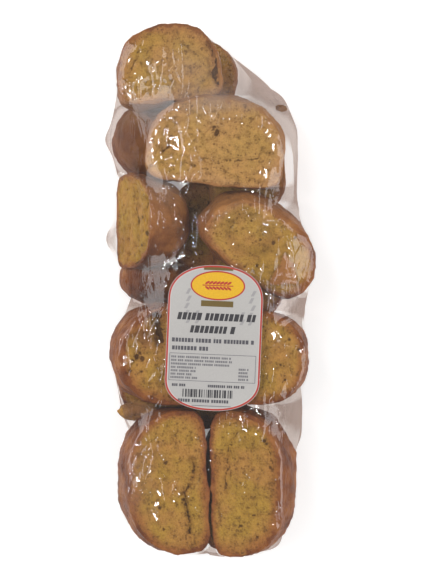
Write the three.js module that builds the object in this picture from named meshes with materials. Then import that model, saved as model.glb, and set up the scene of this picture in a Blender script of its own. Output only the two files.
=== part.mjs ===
// A clear sealed bag of thick oval rusks, lying on its back with its paper label up.
//
// Millimetres. +Z is up, +Y runs towards the bag's top end, +X is to the right of the label.
// The bag stands on z = 0. It is one closed solid with the outer shape of the film, which is
// stretched over two layers of rusks. The label is a thin paper plate stuck on the film.

import * as THREE from 'three';

// ---- driving dimensions ----------------------------------------------------------------

const SLICE = { thick: 33, bellyShare: 0.38, topRound: 2.2, footRound: 5, cutTaper: 0.97 };
const HEEL = { round: 2.4, rings: 7 };
const OUTLINE_POINTS = 40;

const FILM = {
	gap: 1.2, // film and air between a crust and the outside of the film
	flatten: 0.9, // film lower than this lies on the table
	around: 60, // points around the pack
	sideStep: 7, // spacing of the rows along the pack
	endRows: 9, // rows over each rounded end
	alongPull: 1.6, // how much tighter the film is drawn along than around
	sweeps: 500,
	easing: 3, // passes that round off the creases over sharp crust edges
};

// The line through the middle of the pack that the film is wrapped around: [y, x].
const SPINE_HEIGHT = 38;
const SPINE = [
	[ -150, -2 ], [ -50, -1 ], [ 40, 0 ], [ 100, -10 ], [ 150, -25 ],
];

const LABEL = {
	width: 68, length: 104, thick: 0.5,
	at: [ 2.3, -33.3 ], turn: -2.4,
	height: 80, // underside at the middle
	bow: 1.2, // how much lower the long edges lie than the middle
	topCap: 25, footCap: 22, // length of the rounded ends
	round: 2.25,
	clearance: 0.35, margin: 3,
	steepest: 0.6, // no film ray that leans further from the vertical than this reaches the label
	outlinePoints: 56, rings: 4,
};

const COLOURS = { bag: 0xa87c48, label: 0xd8d8d8 };

// ---- the rusks inside ------------------------------------------------------------------
// at: the middle of each rusk. width: along its flat foot. height: foot to the top of its dome.
// turn: degrees about Z, 0 with the dome towards +Y. tilt: degrees about X, then about Y.

const UPPER_LAYER = [
	{ name: 'top_end', at: [ -31, 165.4, 53 ], width: 77, height: 59, turn: 5, tilt: [ 0, 3 ] },
	{ name: 'shoulder', at: [ 4.3, 110.6, 59 ], width: 101, height: 67, turn: -6, tilt: [ 7, 0 ] },
	{
		name: 'right_leaning', at: [ 37, 37.5, 56 ], width: 91, height: 60.5, turn: -36.5, tilt: [ 7, 7 ],
		footRound: 2.7,
	},
	{ name: 'left_of_label', at: [ -41.2, -45.4, 57 ], width: 75, height: 64, turn: 88, tilt: [ 2, 6 ] },
	{ name: 'right_of_label', at: [ 41.4, -49, 57 ], width: 69, height: 61, turn: -100, tilt: [ 0, -3 ] },
	{ name: 'bottom_left', at: [ -35, -138.2, 57 ], width: 106, height: 64, turn: 92, tilt: [ 0, 8 ] },
	{ name: 'bottom_right', at: [ 31.4, -138.8, 57 ], width: 107, height: 61, turn: -89, tilt: [ 0, -9 ] },
];

const LOWER_LAYER_Z = 17.1;
const LOWER_LAYER = [
	{ name: 'under_top_end', at: [ -17, 166.5 ], width: 78, height: 54, turn: -14 },
	{ name: 'under_shoulder', at: [ 27, 90 ], width: 72, height: 60, turn: -88 },
	{ name: 'under_right', at: [ 29.5, 15 ], width: 80, height: 58, turn: -94 },
	{ name: 'under_left', at: [ -41, -63.5 ], width: 84, height: 60, turn: 94 },
	{ name: 'under_label', at: [ 8, -71 ], width: 65, height: 44, turn: -92 },
	{ name: 'under_bottom_left', at: [ -38, -149 ], width: 82, height: 60, turn: 90 },
	{ name: 'under_bottom_right', at: [ 22.5, -148.6 ], width: 92, height: 56, turn: -90 },
];

// A thinner broken slice that lies flat, with its own thickness.
const THIN_ONES = [
	{ name: 'under_middle', at: [ -13, 48, 12 ], width: 74, height: 36, thick: 22, turn: 90, tilt: [ 0, 0 ] },
];

// The two loaf ends: cut face on local +Z, rounded crust on local -Z.
const LOAF_ENDS = [
	{ name: 'middle_end', at: [ -42, 6, 24 ], width: 55, height: 32, thick: 47, turn: 0, tilt: [ 180, 0 ] },
	{ name: 'left_end', at: [ -50, 114, 23 ], width: 59, height: 50, thick: 45, turn: 90, tilt: [ 180, 0 ] },
	{ name: 'tilted_end', at: [ -37.4, 52, 41 ], width: 70, height: 62, thick: 44, turn: -90, tilt: [ 0, -62 ] },
];

// Folds of the film that stand off the rusks, as the ball of air under each: [x, y, z].
const AIR_RADIUS = 7;
const AIR = [
	[ 35, 149, 44 ], [ 49, 140, 44 ], [ 58, 119, 42 ], [ 58, 98, 42 ], [ 57, 77, 42 ],
	[ -73, 113, 38 ], [ -73, 40, 34 ], [ -68, 26, 30 ], [ 71, 14, 40 ], [ 61, -82, 40 ],
	[ 61, -107, 38 ], [ -65, -146, 20 ], [ 47, -187, 30 ], [ 6, -190, 40 ],
];

// ---- rusk shapes -----------------------------------------------------------------------

// The outline of a cut face: a dome over a flatter foot with rounded corners.
function cutOutline( { width, height, footRound = SLICE.footRound } ) {

	const belly = SLICE.bellyShare * height;
	const points = [];
	for ( let i = 0; i < OUTLINE_POINTS; i ++ ) {

		const angle = ( 2 * Math.PI * i ) / OUTLINE_POINTS;
		const isDome = Math.sin( angle ) >= 0;
		const power = 2 / ( isDome ? SLICE.topRound : footRound );
		const reach = isDome ? height - belly : belly;
		const x = Math.sign( Math.cos( angle ) ) * Math.abs( Math.cos( angle ) ) ** power * width / 2;
		const y = Math.sign( Math.sin( angle ) ) * Math.abs( Math.sin( angle ) ) ** power * reach;
		points.push( [ x, y + belly - height / 2 ] );

	}

	return points;

}

// A closed surface through copies of one outline, each with its own scale and height.
function stackedOutline( outline, levels ) {

	const count = outline.length;
	const positions = [ 0, 0, levels[ 0 ].z ];
	for ( const level of levels ) {

		for ( const [ x, y ] of outline ) positions.push( x * level.scale, y * level.scale, level.z );

	}

	positions.push( 0, 0, levels.at( - 1 ).z );
	const last = positions.length / 3 - 1;
	const index = [];
	for ( let i = 0; i < count; i ++ ) {

		const next = ( i + 1 ) % count;
		index.push( 0, 1 + next, 1 + i );
		for ( let row = 0; row < levels.length - 1; row ++ ) {

			const here = 1 + row * count;
			const above = here + count;
			index.push( here + i, here + next, above + next );
			index.push( here + i, above + next, above + i );

		}

		index.push( last, last - count + i, last - count + next );

	}

	const geometry = new THREE.BufferGeometry();
	geometry.setAttribute( 'position', new THREE.Float32BufferAttribute( positions, 3 ) );
	geometry.setIndex( index );
	return geometry;

}

// A slice is a little smaller at its upper cut face than at its lower one.
function sliceLevels( thick ) {

	return [ { scale: 1, z: - thick / 2 }, { scale: SLICE.cutTaper, z: thick / 2 } ];

}

// A loaf end narrows from its cut face to the tip of its rounded crust.
function heelLevels( thick ) {

	const levels = [];
	for ( let ring = HEEL.rings; ring >= 0; ring -- ) {

		const depth = Math.sin( ( Math.PI / 2 ) * ring / ( HEEL.rings + 0.5 ) );
		const scale = ( 1 - depth ** HEEL.round ) ** ( 1 / HEEL.round );
		levels.push( { scale, z: thick / 2 - thick * depth } );

	}

	return levels;

}

function placedRusk( rusk, levels ) {

	const geometry = stackedOutline( cutOutline( rusk ), levels );
	const mesh = new THREE.Mesh( geometry, new THREE.MeshBasicMaterial( { side: THREE.DoubleSide } ) );
	const [ aboutX, aboutY ] = rusk.tilt.map( THREE.MathUtils.degToRad );
	const turn = THREE.MathUtils.degToRad( rusk.turn );
	mesh.rotation.set( aboutX, aboutY, turn, 'YXZ' );
	mesh.position.set( ...rusk.at );
	mesh.updateMatrixWorld();
	return mesh;

}

function allRusks() {

	const lower = LOWER_LAYER.map( ( rusk ) => ( {
		...rusk, at: [ ...rusk.at, LOWER_LAYER_Z ], tilt: [ 0, 0 ],
	} ) );
	const slices = [ ...UPPER_LAYER, ...lower, ...THIN_ONES ];
	return [
		...slices.map( ( rusk ) => placedRusk( rusk, sliceLevels( rusk.thick ?? SLICE.thick ) ) ),
		...LOAF_ENDS.map( ( rusk ) => placedRusk( rusk, heelLevels( rusk.thick ) ) ),
	];

}

function airUnderFolds() {

	return AIR.map( ( at ) => {

		const ball = new THREE.Mesh( new THREE.SphereGeometry( AIR_RADIUS, 12, 8 ) );
		ball.position.set( ...at );
		ball.updateMatrixWorld();
		return ball;

	} );

}

// ---- the label's place -----------------------------------------------------------------

const LABEL_TURN = THREE.MathUtils.degToRad( LABEL.turn );

// A point of the pack in the label's own flat coordinates, u across and v along.
function onLabel( x, y ) {

	const dx = x - LABEL.at[ 0 ];
	const dy = y - LABEL.at[ 1 ];
	return [
		dx * Math.cos( LABEL_TURN ) + dy * Math.sin( LABEL_TURN ),
		- dx * Math.sin( LABEL_TURN ) + dy * Math.cos( LABEL_TURN ),
	];

}

function labelUnderside( u ) {

	return LABEL.height - LABEL.bow * ( 2 * u / LABEL.width ) ** 2;

}

// The label's outline: straight sides between two rounded ends.
function labelEdge( angle ) {

	const side = Math.cos( angle );
	const end = Math.sin( angle );
	const cap = end >= 0 ? LABEL.topCap : LABEL.footCap;
	const straight = LABEL.length / 2 - cap;
	const power = 2 / LABEL.round;
	const u = Math.sign( side ) * Math.abs( side ) ** power * LABEL.width / 2;
	const v = Math.sign( end ) * ( straight + Math.abs( end ) ** power * cap );
	return [ u, v ];

}

function isUnderLabel( x, y ) {

	const [ u, v ] = onLabel( x, y );
	const cap = v >= 0 ? LABEL.topCap : LABEL.footCap;
	const past = Math.max( 0, Math.abs( v ) - ( LABEL.length / 2 - cap ) );
	const across = Math.abs( u ) / ( LABEL.width / 2 + LABEL.margin );
	const along = past / ( cap + LABEL.margin );
	return across ** LABEL.round + along ** LABEL.round <= 1;

}

// ---- the film --------------------------------------------------------------------------

function spineX( y ) {

	const next = SPINE.findIndex( ( [ at ] ) => at >= y );
	if ( next <= 0 ) return next === 0 ? SPINE[ 0 ][ 1 ] : SPINE.at( - 1 )[ 1 ];
	const [ y0, x0 ] = SPINE[ next - 1 ];
	const [ y1, x1 ] = SPINE[ next ];
	return x0 + ( x1 - x0 ) * ( y - y0 ) / ( y1 - y0 );

}

// One row of rays that leave the spine at y and lean towards the pack's end by lean radians.
function rowOfRays( y, lean ) {

	const origin = new THREE.Vector3( spineX( y ), y, SPINE_HEIGHT );
	const rays = [];
	for ( let i = 0; i < FILM.around; i ++ ) {

		const angle = ( 2 * Math.PI * i ) / FILM.around;
		const direction = new THREE.Vector3(
			Math.sin( angle ) * Math.cos( lean ), Math.sin( lean ), Math.cos( angle ) * Math.cos( lean ),
		);
		rays.push( { origin, direction } );

	}

	return rays;

}

// All rays, from the pole of the bottom end to the pole of the top end.
function filmRays() {

	const start = SPINE[ 0 ][ 0 ];
	const end = SPINE.at( - 1 )[ 0 ];
	const steps = Math.round( ( end - start ) / FILM.sideStep );
	const leanStep = Math.PI / 2 / ( FILM.endRows + 1 );
	const rows = [];
	for ( let i = FILM.endRows; i > 0; i -- ) rows.push( rowOfRays( start, - leanStep * i ) );
	for ( let i = 0; i <= steps; i ++ ) rows.push( rowOfRays( start + ( end - start ) * i / steps, 0 ) );
	for ( let i = 1; i <= FILM.endRows; i ++ ) rows.push( rowOfRays( end, leanStep * i ) );
	const pole = ( y, way ) => [ {
		origin: new THREE.Vector3( spineX( y ), y, SPINE_HEIGHT ),
		direction: new THREE.Vector3( 0, way, 0 ),
	} ];
	return [ pole( start, - 1 ), ...rows, pole( end, 1 ) ];

}

// How far along a ray the outermost crust lies, 0 where there is none.
function crustReach( ray, rusks ) {

	const hits = new THREE.Raycaster( ray.origin, ray.direction ).intersectObjects( rusks, false );
	return hits.length ? hits.at( - 1 ).distance + FILM.gap : 0;

}

// How far along a ray the label holds the film, or null away from the label.
function labelReach( ray ) {

	if ( ray.direction.z < LABEL.steepest ) return null;
	const point = new THREE.Vector3();
	let reach = ( LABEL.height - SPINE_HEIGHT ) / ray.direction.z;
	for ( let pass = 0; pass < 4; pass ++ ) {

		point.copy( ray.origin ).addScaledVector( ray.direction, reach );
		const [ u ] = onLabel( point.x, point.y );
		reach = ( labelUnderside( u ) - LABEL.clearance - SPINE_HEIGHT ) / ray.direction.z;

	}

	return isUnderLabel( point.x, point.y ) ? reach : null;

}

function filmPoints( rays, rusks ) {

	return rays.map( ( row ) => row.map( ( ray ) => {

		const held = labelReach( ray );
		const crust = crustReach( ray, rusks );
		const table = ray.direction.z < 0 ? SPINE_HEIGHT / - ray.direction.z : Infinity;
		const reach = held ?? Math.min( crust, table );
		const position = ray.origin.clone().addScaledVector( ray.direction, reach );
		return { ...ray, held: held !== null, least: reach, most: table, position };

	} ) );

}

// The point beside column i of a row, where a pole is one point for every column.
function columnOf( row, i ) {

	return row[ row.length === 1 ? 0 : ( i + row.length ) % row.length ].position;

}

// Draws the film tight: each point slides on its ray to the middle of its neighbours,
// but never into a crust or through the table.
function drawTight( points ) {

	const middle = new THREE.Vector3();
	for ( let sweep = 0; sweep < FILM.sweeps; sweep ++ ) {

		for ( let row = 1; row < points.length - 1; row ++ ) {

			for ( let i = 0; i < FILM.around; i ++ ) {

				const point = points[ row ][ i ];
				if ( point.held ) continue;
				middle.copy( columnOf( points[ row - 1 ], i ) ).add( columnOf( points[ row + 1 ], i ) );
				middle.multiplyScalar( FILM.alongPull );
				middle.add( columnOf( points[ row ], i - 1 ) ).add( columnOf( points[ row ], i + 1 ) );
				middle.divideScalar( 2 + 2 * FILM.alongPull );
				slideTo( point, middle );

			}

		}

		drawPoleTight( points[ 0 ][ 0 ], points[ 1 ] );
		drawPoleTight( points.at( - 1 )[ 0 ], points.at( - 2 ) );

	}

}

function drawPoleTight( pole, ring ) {

	const middle = new THREE.Vector3();
	for ( const point of ring ) middle.addScaledVector( point.position, 1 / ring.length );
	slideTo( pole, middle );

}

// Rounds the film over sharp edges, without its flat underside and the part under the label.
function ease( points ) {

	for ( let pass = 0; pass < FILM.easing; pass ++ ) {

		const targets = points.map( ( row, r ) => row.map( ( point, i ) => {

			if ( row.length === 1 || point.held ) return point.position.clone();
			const middle = columnOf( points[ r - 1 ], i ).clone().add( columnOf( points[ r + 1 ], i ) );
			middle.add( columnOf( row, i - 1 ) ).add( columnOf( row, i + 1 ) ).divideScalar( 4 );
			return middle.lerp( point.position, 0.5 );

		} ) );
		points.forEach( ( row, r ) => row.forEach( ( point, i ) => {

			point.least = 0;
			slideTo( point, targets[ r ][ i ] );

		} ) );

	}

}

function slideTo( point, target ) {

	const wanted = target.clone().sub( point.origin ).dot( point.direction );
	const reach = Math.min( Math.max( wanted, point.least ), point.most );
	point.position.copy( point.origin ).addScaledVector( point.direction, reach );

}

// Makes the underside flat where the film touches the table.
function layOnTable( points ) {

	for ( const point of points.flat() ) {

		if ( point.position.z > FILM.flatten ) continue;
		point.position.copy( point.origin ).addScaledVector( point.direction, point.most );
		point.position.z = 0;

	}

}

// Joins the rows of film points into one closed surface.
function filmGeometry( points ) {

	const positions = points.flat().flatMap( ( point ) => point.position.toArray() );
	const rowStart = ( row ) => ( row === 0 ? 0 : 1 + ( row - 1 ) * FILM.around );
	const lastRow = points.length - 1;
	const topPole = rowStart( lastRow );
	const index = [];
	for ( let i = 0; i < FILM.around; i ++ ) {

		const next = ( i + 1 ) % FILM.around;
		index.push( 0, rowStart( 1 ) + next, rowStart( 1 ) + i );
		for ( let row = 1; row < lastRow - 1; row ++ ) {

			const here = rowStart( row );
			const above = rowStart( row + 1 );
			index.push( here + i, here + next, above + next );
			index.push( here + i, above + next, above + i );

		}

		index.push( topPole, rowStart( lastRow - 1 ) + i, rowStart( lastRow - 1 ) + next );

	}

	const geometry = new THREE.BufferGeometry();
	geometry.setAttribute( 'position', new THREE.Float32BufferAttribute( positions, 3 ) );
	geometry.setIndex( index );
	geometry.computeVertexNormals();
	return geometry;

}

function makeBag() {

	const points = filmPoints( filmRays(), [ ...allRusks(), ...airUnderFolds() ] );
	drawTight( points );
	ease( points );
	layOnTable( points );
	const material = new THREE.MeshStandardMaterial( { color: COLOURS.bag, roughness: 0.25, metalness: 0 } );
	const bag = new THREE.Mesh( filmGeometry( points ), material );
	bag.name = 'bag';
	return bag;

}

// ---- the label -------------------------------------------------------------------------

function labelGeometry() {

	const step = 2 * Math.PI / LABEL.outlinePoints;
	const edge = [];
	for ( let i = 0; i < LABEL.outlinePoints; i ++ ) edge.push( labelEdge( step * ( i + 0.5 ) ) );
	const under = [];
	for ( let ring = 1; ring <= LABEL.rings; ring ++ ) under.push( { scale: ring / LABEL.rings, z: 0 } );
	const over = under.toReversed().map( ( { scale } ) => ( { scale, z: LABEL.thick } ) );
	const geometry = stackedOutline( edge, [ ...under, ...over ] );
	const position = geometry.attributes.position;
	for ( let i = 0; i < position.count; i ++ ) {

		position.setZ( i, position.getZ( i ) + labelUnderside( position.getX( i ) ) );

	}

	geometry.computeVertexNormals();
	return geometry;

}

function makeLabel() {

	const material = new THREE.MeshStandardMaterial( { color: COLOURS.label, roughness: 0.7, metalness: 0 } );
	const label = new THREE.Mesh( labelGeometry(), material );
	label.name = 'label';
	label.position.set( LABEL.at[ 0 ], LABEL.at[ 1 ], 0 );
	label.rotation.z = LABEL_TURN;
	return label;

}

const group = new THREE.Group();
group.add( makeBag(), makeLabel() );

export default group;
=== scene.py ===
"""A clear sealed bag of thick oval rusks, lying on its back with its paper label up.

The rusks, the crumbs, the film around them, the label and its print are meshes made here from
named sizes. Where nothing else is said, sizes and places are in millimetres in the frame of the
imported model, and become metres when a mesh is made. Angles in the lists are in degrees. +Z is
up, +Y runs to the bag's top end, +X is right of the label.
"""

import math
from dataclasses import dataclass, field

import bpy
import numpy as np
from mathutils import Matrix, Vector
from mathutils.bvhtree import BVHTree


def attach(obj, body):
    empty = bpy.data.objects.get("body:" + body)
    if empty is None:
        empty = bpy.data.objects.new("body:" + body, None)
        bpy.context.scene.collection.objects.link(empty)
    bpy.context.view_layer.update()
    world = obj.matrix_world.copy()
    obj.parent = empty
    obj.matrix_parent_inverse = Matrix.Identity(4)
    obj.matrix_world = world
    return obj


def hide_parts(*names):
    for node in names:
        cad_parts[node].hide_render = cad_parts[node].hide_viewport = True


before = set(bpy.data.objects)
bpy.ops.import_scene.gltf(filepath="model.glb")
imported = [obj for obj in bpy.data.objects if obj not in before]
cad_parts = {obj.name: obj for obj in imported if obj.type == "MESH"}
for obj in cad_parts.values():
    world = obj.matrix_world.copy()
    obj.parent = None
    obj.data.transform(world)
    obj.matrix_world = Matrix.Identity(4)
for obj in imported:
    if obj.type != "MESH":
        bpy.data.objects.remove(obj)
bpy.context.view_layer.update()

MM = 0.001
FULL_TURN = 2 * math.pi
NOISE_ROUGHNESS = 0.55


# ---- camera, light and floor ----

CAMERA_AT = (3.7, -1.86, 1050)
CAMERA_LENS = 83.2  # for a 36 mm sensor along the picture's long side
FLOOR_SIZE = 6000
SURROUND_STRENGTH = 0.42
FLOOR_GLOW = 0.30
PACK_MIDDLE = (0, 0, 0.04)  # in metres, where the lights point

# name: (place, size, watts), in metres: two broad soft lights, then small ones for the film's glints
LIGHTS = {
    "soft_left": ((-1.15, 0.45, 1.25), (1.5, 1.3), 17.0),
    "soft_right": ((1.3, -0.2, 1.15), (1.2, 1.2), 13.0),
    "glint_above": ((-0.28, 0.10, 1.35), (0.025, 0.08), 0.45),
    "glint_left": ((-0.55, 0.05, 1.20), (0.03, 0.12), 1.0),
    "glint_right": ((0.45, 0.02, 1.20), (0.03, 0.08), 0.70),
    "glint_back": ((-0.32, 0.42, 1.20), (0.04, 0.04), 0.45),
    "glint_front": ((0.24, -0.42, 1.20), (0.04, 0.04), 0.45),
}


def make_camera():
    """The camera looks straight down on the bag, with the top end up in the picture."""
    data = bpy.data.cameras.new("camera")
    data.lens = CAMERA_LENS
    data.sensor_width = 36
    data.clip_end = 50
    camera = bpy.data.objects.new("camera", data)
    camera.location = Vector(CAMERA_AT) * MM
    bpy.context.scene.collection.objects.link(camera)
    bpy.context.scene.camera = camera


def make_light(name, at, size, power):
    data = bpy.data.lights.new(name, "AREA")
    data.shape = "RECTANGLE"
    data.size, data.size_y = size
    data.energy = power
    light = bpy.data.objects.new(name, data)
    light.location = at
    light.rotation_euler = (Vector(PACK_MIDDLE) - Vector(at)).to_track_quat("-Z", "Y").to_euler()
    bpy.context.scene.collection.objects.link(light)


def make_studio():
    """A pale floor, an even pale surround and the lights."""
    scene = bpy.context.scene
    scene.view_settings.view_transform = "Standard"
    world = bpy.data.worlds.new("surround")
    world.use_nodes = True
    background = world.node_tree.nodes["Background"]
    background.inputs["Color"].default_value = (1, 1, 1, 1)
    background.inputs["Strength"].default_value = SURROUND_STRENGTH
    scene.world = world
    for name, (at, size, power) in LIGHTS.items():
        make_light(name, at, size, power)
    points = [(-1, -1), (1, -1), (1, 1), (-1, 1)]
    corners = [(x * FLOOR_SIZE / 2, y * FLOOR_SIZE / 2, 0) for x, y in points]
    floor = make_object("floor", np.array(corners, float), [(0, 1, 2, 3)], floor_material())


# ---- meshes and materials, shared helpers ----

def make_object(name, points, faces, material, numbers=None, grain=None, smooth=True):
    """A mesh object from millimetre points, with its per-point numbers kept as attributes."""
    mesh = bpy.data.meshes.new(name)
    mesh.from_pydata((points * MM).tolist(), [], faces)
    for label, values in (numbers or {}).items():
        attribute = mesh.attributes.new(label, "FLOAT", "POINT")
        attribute.data.foreach_set("value", np.asarray(values, np.float32))
    if grain is not None:
        attribute = mesh.attributes.new("grain", "FLOAT_VECTOR", "POINT")
        attribute.data.foreach_set("vector", np.asarray(grain, np.float32).ravel())
    mesh.polygons.foreach_set("use_smooth", [smooth] * len(mesh.polygons))
    mesh.materials.append(material)
    piece = bpy.data.objects.new(name, mesh)
    bpy.context.scene.collection.objects.link(piece)
    return piece


def keep_piece(piece, replaced=None):
    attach(piece, "root")
    if replaced:
        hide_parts(replaced)


class Shader:
    """Builds one node material: each method adds a node and returns its output socket."""

    def __init__(self, name):
        self.material = bpy.data.materials.new(name)
        self.material.use_nodes = True
        self.tree = self.material.node_tree
        self.tree.nodes.clear()

    def node(self, kind, inputs=None, **settings):
        node = self.tree.nodes.new(kind)
        for name, value in settings.items():
            setattr(node, name, value)
        for key, value in (inputs or {}).items():
            self.feed(node.inputs[key], value)
        return node

    def feed(self, socket, value):
        if isinstance(value, bpy.types.NodeSocket):
            self.tree.links.new(value, socket)
        elif isinstance(value, tuple) and len(value) == 3 and socket.type == "RGBA":
            socket.default_value = (*value, 1)
        else:
            socket.default_value = value

    def number(self, name):
        return self.node("ShaderNodeAttribute", attribute_name=name).outputs["Fac"]

    def vector(self, name):
        return self.node("ShaderNodeAttribute", attribute_name=name).outputs["Vector"]

    def geometry(self, found):
        return self.node("ShaderNodeNewGeometry").outputs[found]

    def noise(self, vector, scale, detail):
        inputs = {"Vector": vector, "Scale": scale, "Detail": detail, "Roughness": NOISE_ROUGHNESS}
        return self.node("ShaderNodeTexNoise", inputs).outputs["Fac"]

    def cells(self, vector, scale, found="Distance", **settings):
        """A pattern of cells: how far each point is from its cell's middle, or the cell's colour."""
        inputs = {"Vector": vector, "Scale": scale, "Randomness": 1.0}
        return self.node("ShaderNodeTexVoronoi", inputs, **settings).outputs[found]

    def cell_edges(self, vector, scale):
        """Distance from the straight edges between the cells of a pattern."""
        return self.cells(vector, scale, feature="DISTANCE_TO_EDGE")

    def math(self, operation, first, second=0.0, third=0.0):
        inputs = {0: first, 1: second, 2: third}
        return self.node("ShaderNodeMath", inputs, operation=operation).outputs[0]

    def times(self, first, second):
        return self.math("MULTIPLY", first, second)

    def vectors(self, operation, inputs):
        return self.node("ShaderNodeVectorMath", inputs, operation=operation).outputs[0]

    def stretch(self, vector, factors):
        return self.vectors("MULTIPLY", {0: vector, 1: factors})

    def step(self, value, low, high, to_low=0.0, to_high=1.0):
        """Smoothly goes from to_low to to_high as value goes from low to high."""
        inputs = {"Value": value, "From Min": low, "From Max": high, "To Min": to_low, "To Max": to_high}
        node = self.node("ShaderNodeMapRange", inputs, interpolation_type="SMOOTHSTEP")
        return node.outputs["Result"]

    def ramp(self, value, *stops):
        node = self.node("ShaderNodeValToRGB", {"Fac": value})
        elements = node.color_ramp.elements
        for place, _ in stops[2:]:
            elements.new(place)
        for element, (place, colour) in zip(sorted(elements, key=lambda e: e.position), stops):
            element.position = place
            element.color = (*colour, 1)
        return node.outputs["Color"]

    def blend(self, factor, first, second, how="MIX"):
        node = self.node("ShaderNodeMix", data_type="RGBA", blend_type=how)
        self.feed(node.inputs["Factor"], factor)
        self.feed(node.inputs["A"], first)
        self.feed(node.inputs["B"], second)
        return node.outputs["Result"]

    def bump(self, height, strength, distance):
        inputs = {"Height": height, "Strength": strength, "Distance": distance}
        return self.node("ShaderNodeBump", inputs).outputs["Normal"]

    def lean(self, vector):
        """The vector turned and stretched, for creases that run aslant."""
        inputs = {"Vector": vector, "Rotation": (0, 0, 0.6), "Scale": (1, 0.35, 1)}
        return self.node("ShaderNodeMapping", inputs).outputs[0]

    def facet_normal(self, vector, scale, tilt, normal):
        """A normal that leans a different way, by about tilt, in each cell of a pattern."""
        ways = self.cells(vector, scale, "Color")
        ways = self.vectors("SUBTRACT", {0: ways, 1: (0.5, 0.5, 0.5)})
        ways = self.vectors("SCALE", {0: ways, "Scale": tilt})
        leaning = self.vectors("ADD", {0: normal, 1: ways})
        return self.vectors("NORMALIZE", {0: leaning})

    def surface(self, inputs):
        return self.node("ShaderNodeBsdfPrincipled", inputs).outputs["BSDF"]

    def finish(self, shader):
        output = self.node("ShaderNodeOutputMaterial")
        self.tree.links.new(shader, output.inputs["Surface"])
        return self.material


def srgb(red, green, blue):
    """The linear colour of an 8-bit sRGB one."""
    def linear(value):
        share = value / 255
        return share / 12.92 if share <= 0.04045 else ((share + 0.055) / 1.055) ** 2.4
    return (linear(red), linear(green), linear(blue))


def floor_material():
    make = Shader("pale_floor")
    place = make.geometry("Position")
    tone = make.ramp(make.noise(place, 3.0, 3), (0.35, srgb(251, 251, 251)), (0.65, srgb(253, 253, 253)))
    surface = {"Base Color": tone, "Roughness": 0.7, "Specular IOR Level": 0.2,
               "Emission Color": (1, 1, 1), "Emission Strength": FLOOR_GLOW}
    return make.finish(make.surface(surface))


# ---- smooth fields ----

UPPER_SIDE_FROM, UPPER_SIDE_WHOLE = 12, 30  # heights over which marks of the upper side fade in


def waves(points, length, rng, count=22, stretch=(1, 1, 1)):
    """A smooth random field over points, mean 0 and spread 1, with ripples about length mm long."""
    ways = rng.normal(size=(count, 3))
    ways /= np.linalg.norm(ways, axis=1)[:, None]
    lengths = length * rng.uniform(0.7, 1.4, count)
    phases = rng.uniform(0, FULL_TURN, count)
    along = points @ (ways * FULL_TURN / lengths[:, None] / np.array(stretch)).T
    return np.cos(along + phases).sum(1) * math.sqrt(2 / count)


def turns(count):
    """Even angles around a full turn."""
    return np.linspace(0, FULL_TURN, count, endpoint=False)


def ripples(points, sizes, rng):
    """Waves of several (height, length) sizes together."""
    return sum(height * waves(points, length, rng) for height, length in sizes)


def smooth_step(values, low, high):
    share = np.clip((values - low) / (high - low), 0, 1)
    return share * share * (3 - 2 * share)


def spots(place, centres):
    """1 at each round (x, y, radius) spot on the pack's upper side, fading out around it."""
    found = np.zeros(place.shape[:-1])
    for x, y, radius in centres:
        away = np.hypot(place[..., 0] - x, place[..., 1] - y) / radius
        found = np.maximum(found, np.exp(-away ** 2))
    return found * smooth_step(place[..., 2], UPPER_SIDE_FROM, UPPER_SIDE_WHOLE)


# ---- rusks ----

SLICE_THICK = 33
BELLY_SHARE = 0.38  # height of the widest line above the foot, as a share of the whole
TOP_ROUND, FOOT_ROUND = 2.2, 5.0  # superellipse exponents of the dome and the foot
WOBBLE = 0.008  # of the outline's reach
CUT_TAPER = 1.3  # how much smaller all round the upper cut face is
EDGE_ROUND = 1.3
HEEL_ROUND = 2.4
LOWER_LAYER_Z = 17.1
LOWEST_CRUST = 0.4  # above the table, with the film between
RING_POINTS = 144
OUTLINE_STEPS = 720
HEEL_RINGS = 16
PORES_PER_SQUARE = 0.030  # on each square millimetre of a cut
PORE_CLUSTERS, CLUSTER_SPREAD, CLUSTERED_SHARE = 12, 5, 0.45
FAR_FROM_OPENINGS = 4.0
FIRST_RUSK_SEED, FIRST_CRUMB_SEED = 100, 400
CUT_FROM, CUT_WHOLE = 0.5, 0.85  # how much a surface faces up or down where it turns into a cut
CRUMB_BLUR = 0.7  # half width of the change from crust to crumb
PATCH_LIFT = 0.9  # of the smooth patches over the torn crumb
# (height, length) of the waves that shape each surface
RAGGED_SIZES = ((0.7, 7), (0.35, 2.5))
SKIN_SIZES = ((0.55, 24), (0.22, 8), (0.1, 3))
TEAR_SIZES = ((0.30, 15), (0.20, 6.5), (0.09, 3))
CRACK_SIZES = ((0.9, 7), (0.45, 2.6))
TOAST_SIZES = ((0.16, 22),)
PALE = [  # (x, y, radius): where the upper rusks are baked less brown
    (6, 112, 66),
    (-16, 136, 16), (6, 139, 16), (30, 135, 16), (-58, 130, 14), (-20, 164, 20), (-36, 112, 15),
    (46, 112, 9),
]


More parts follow.
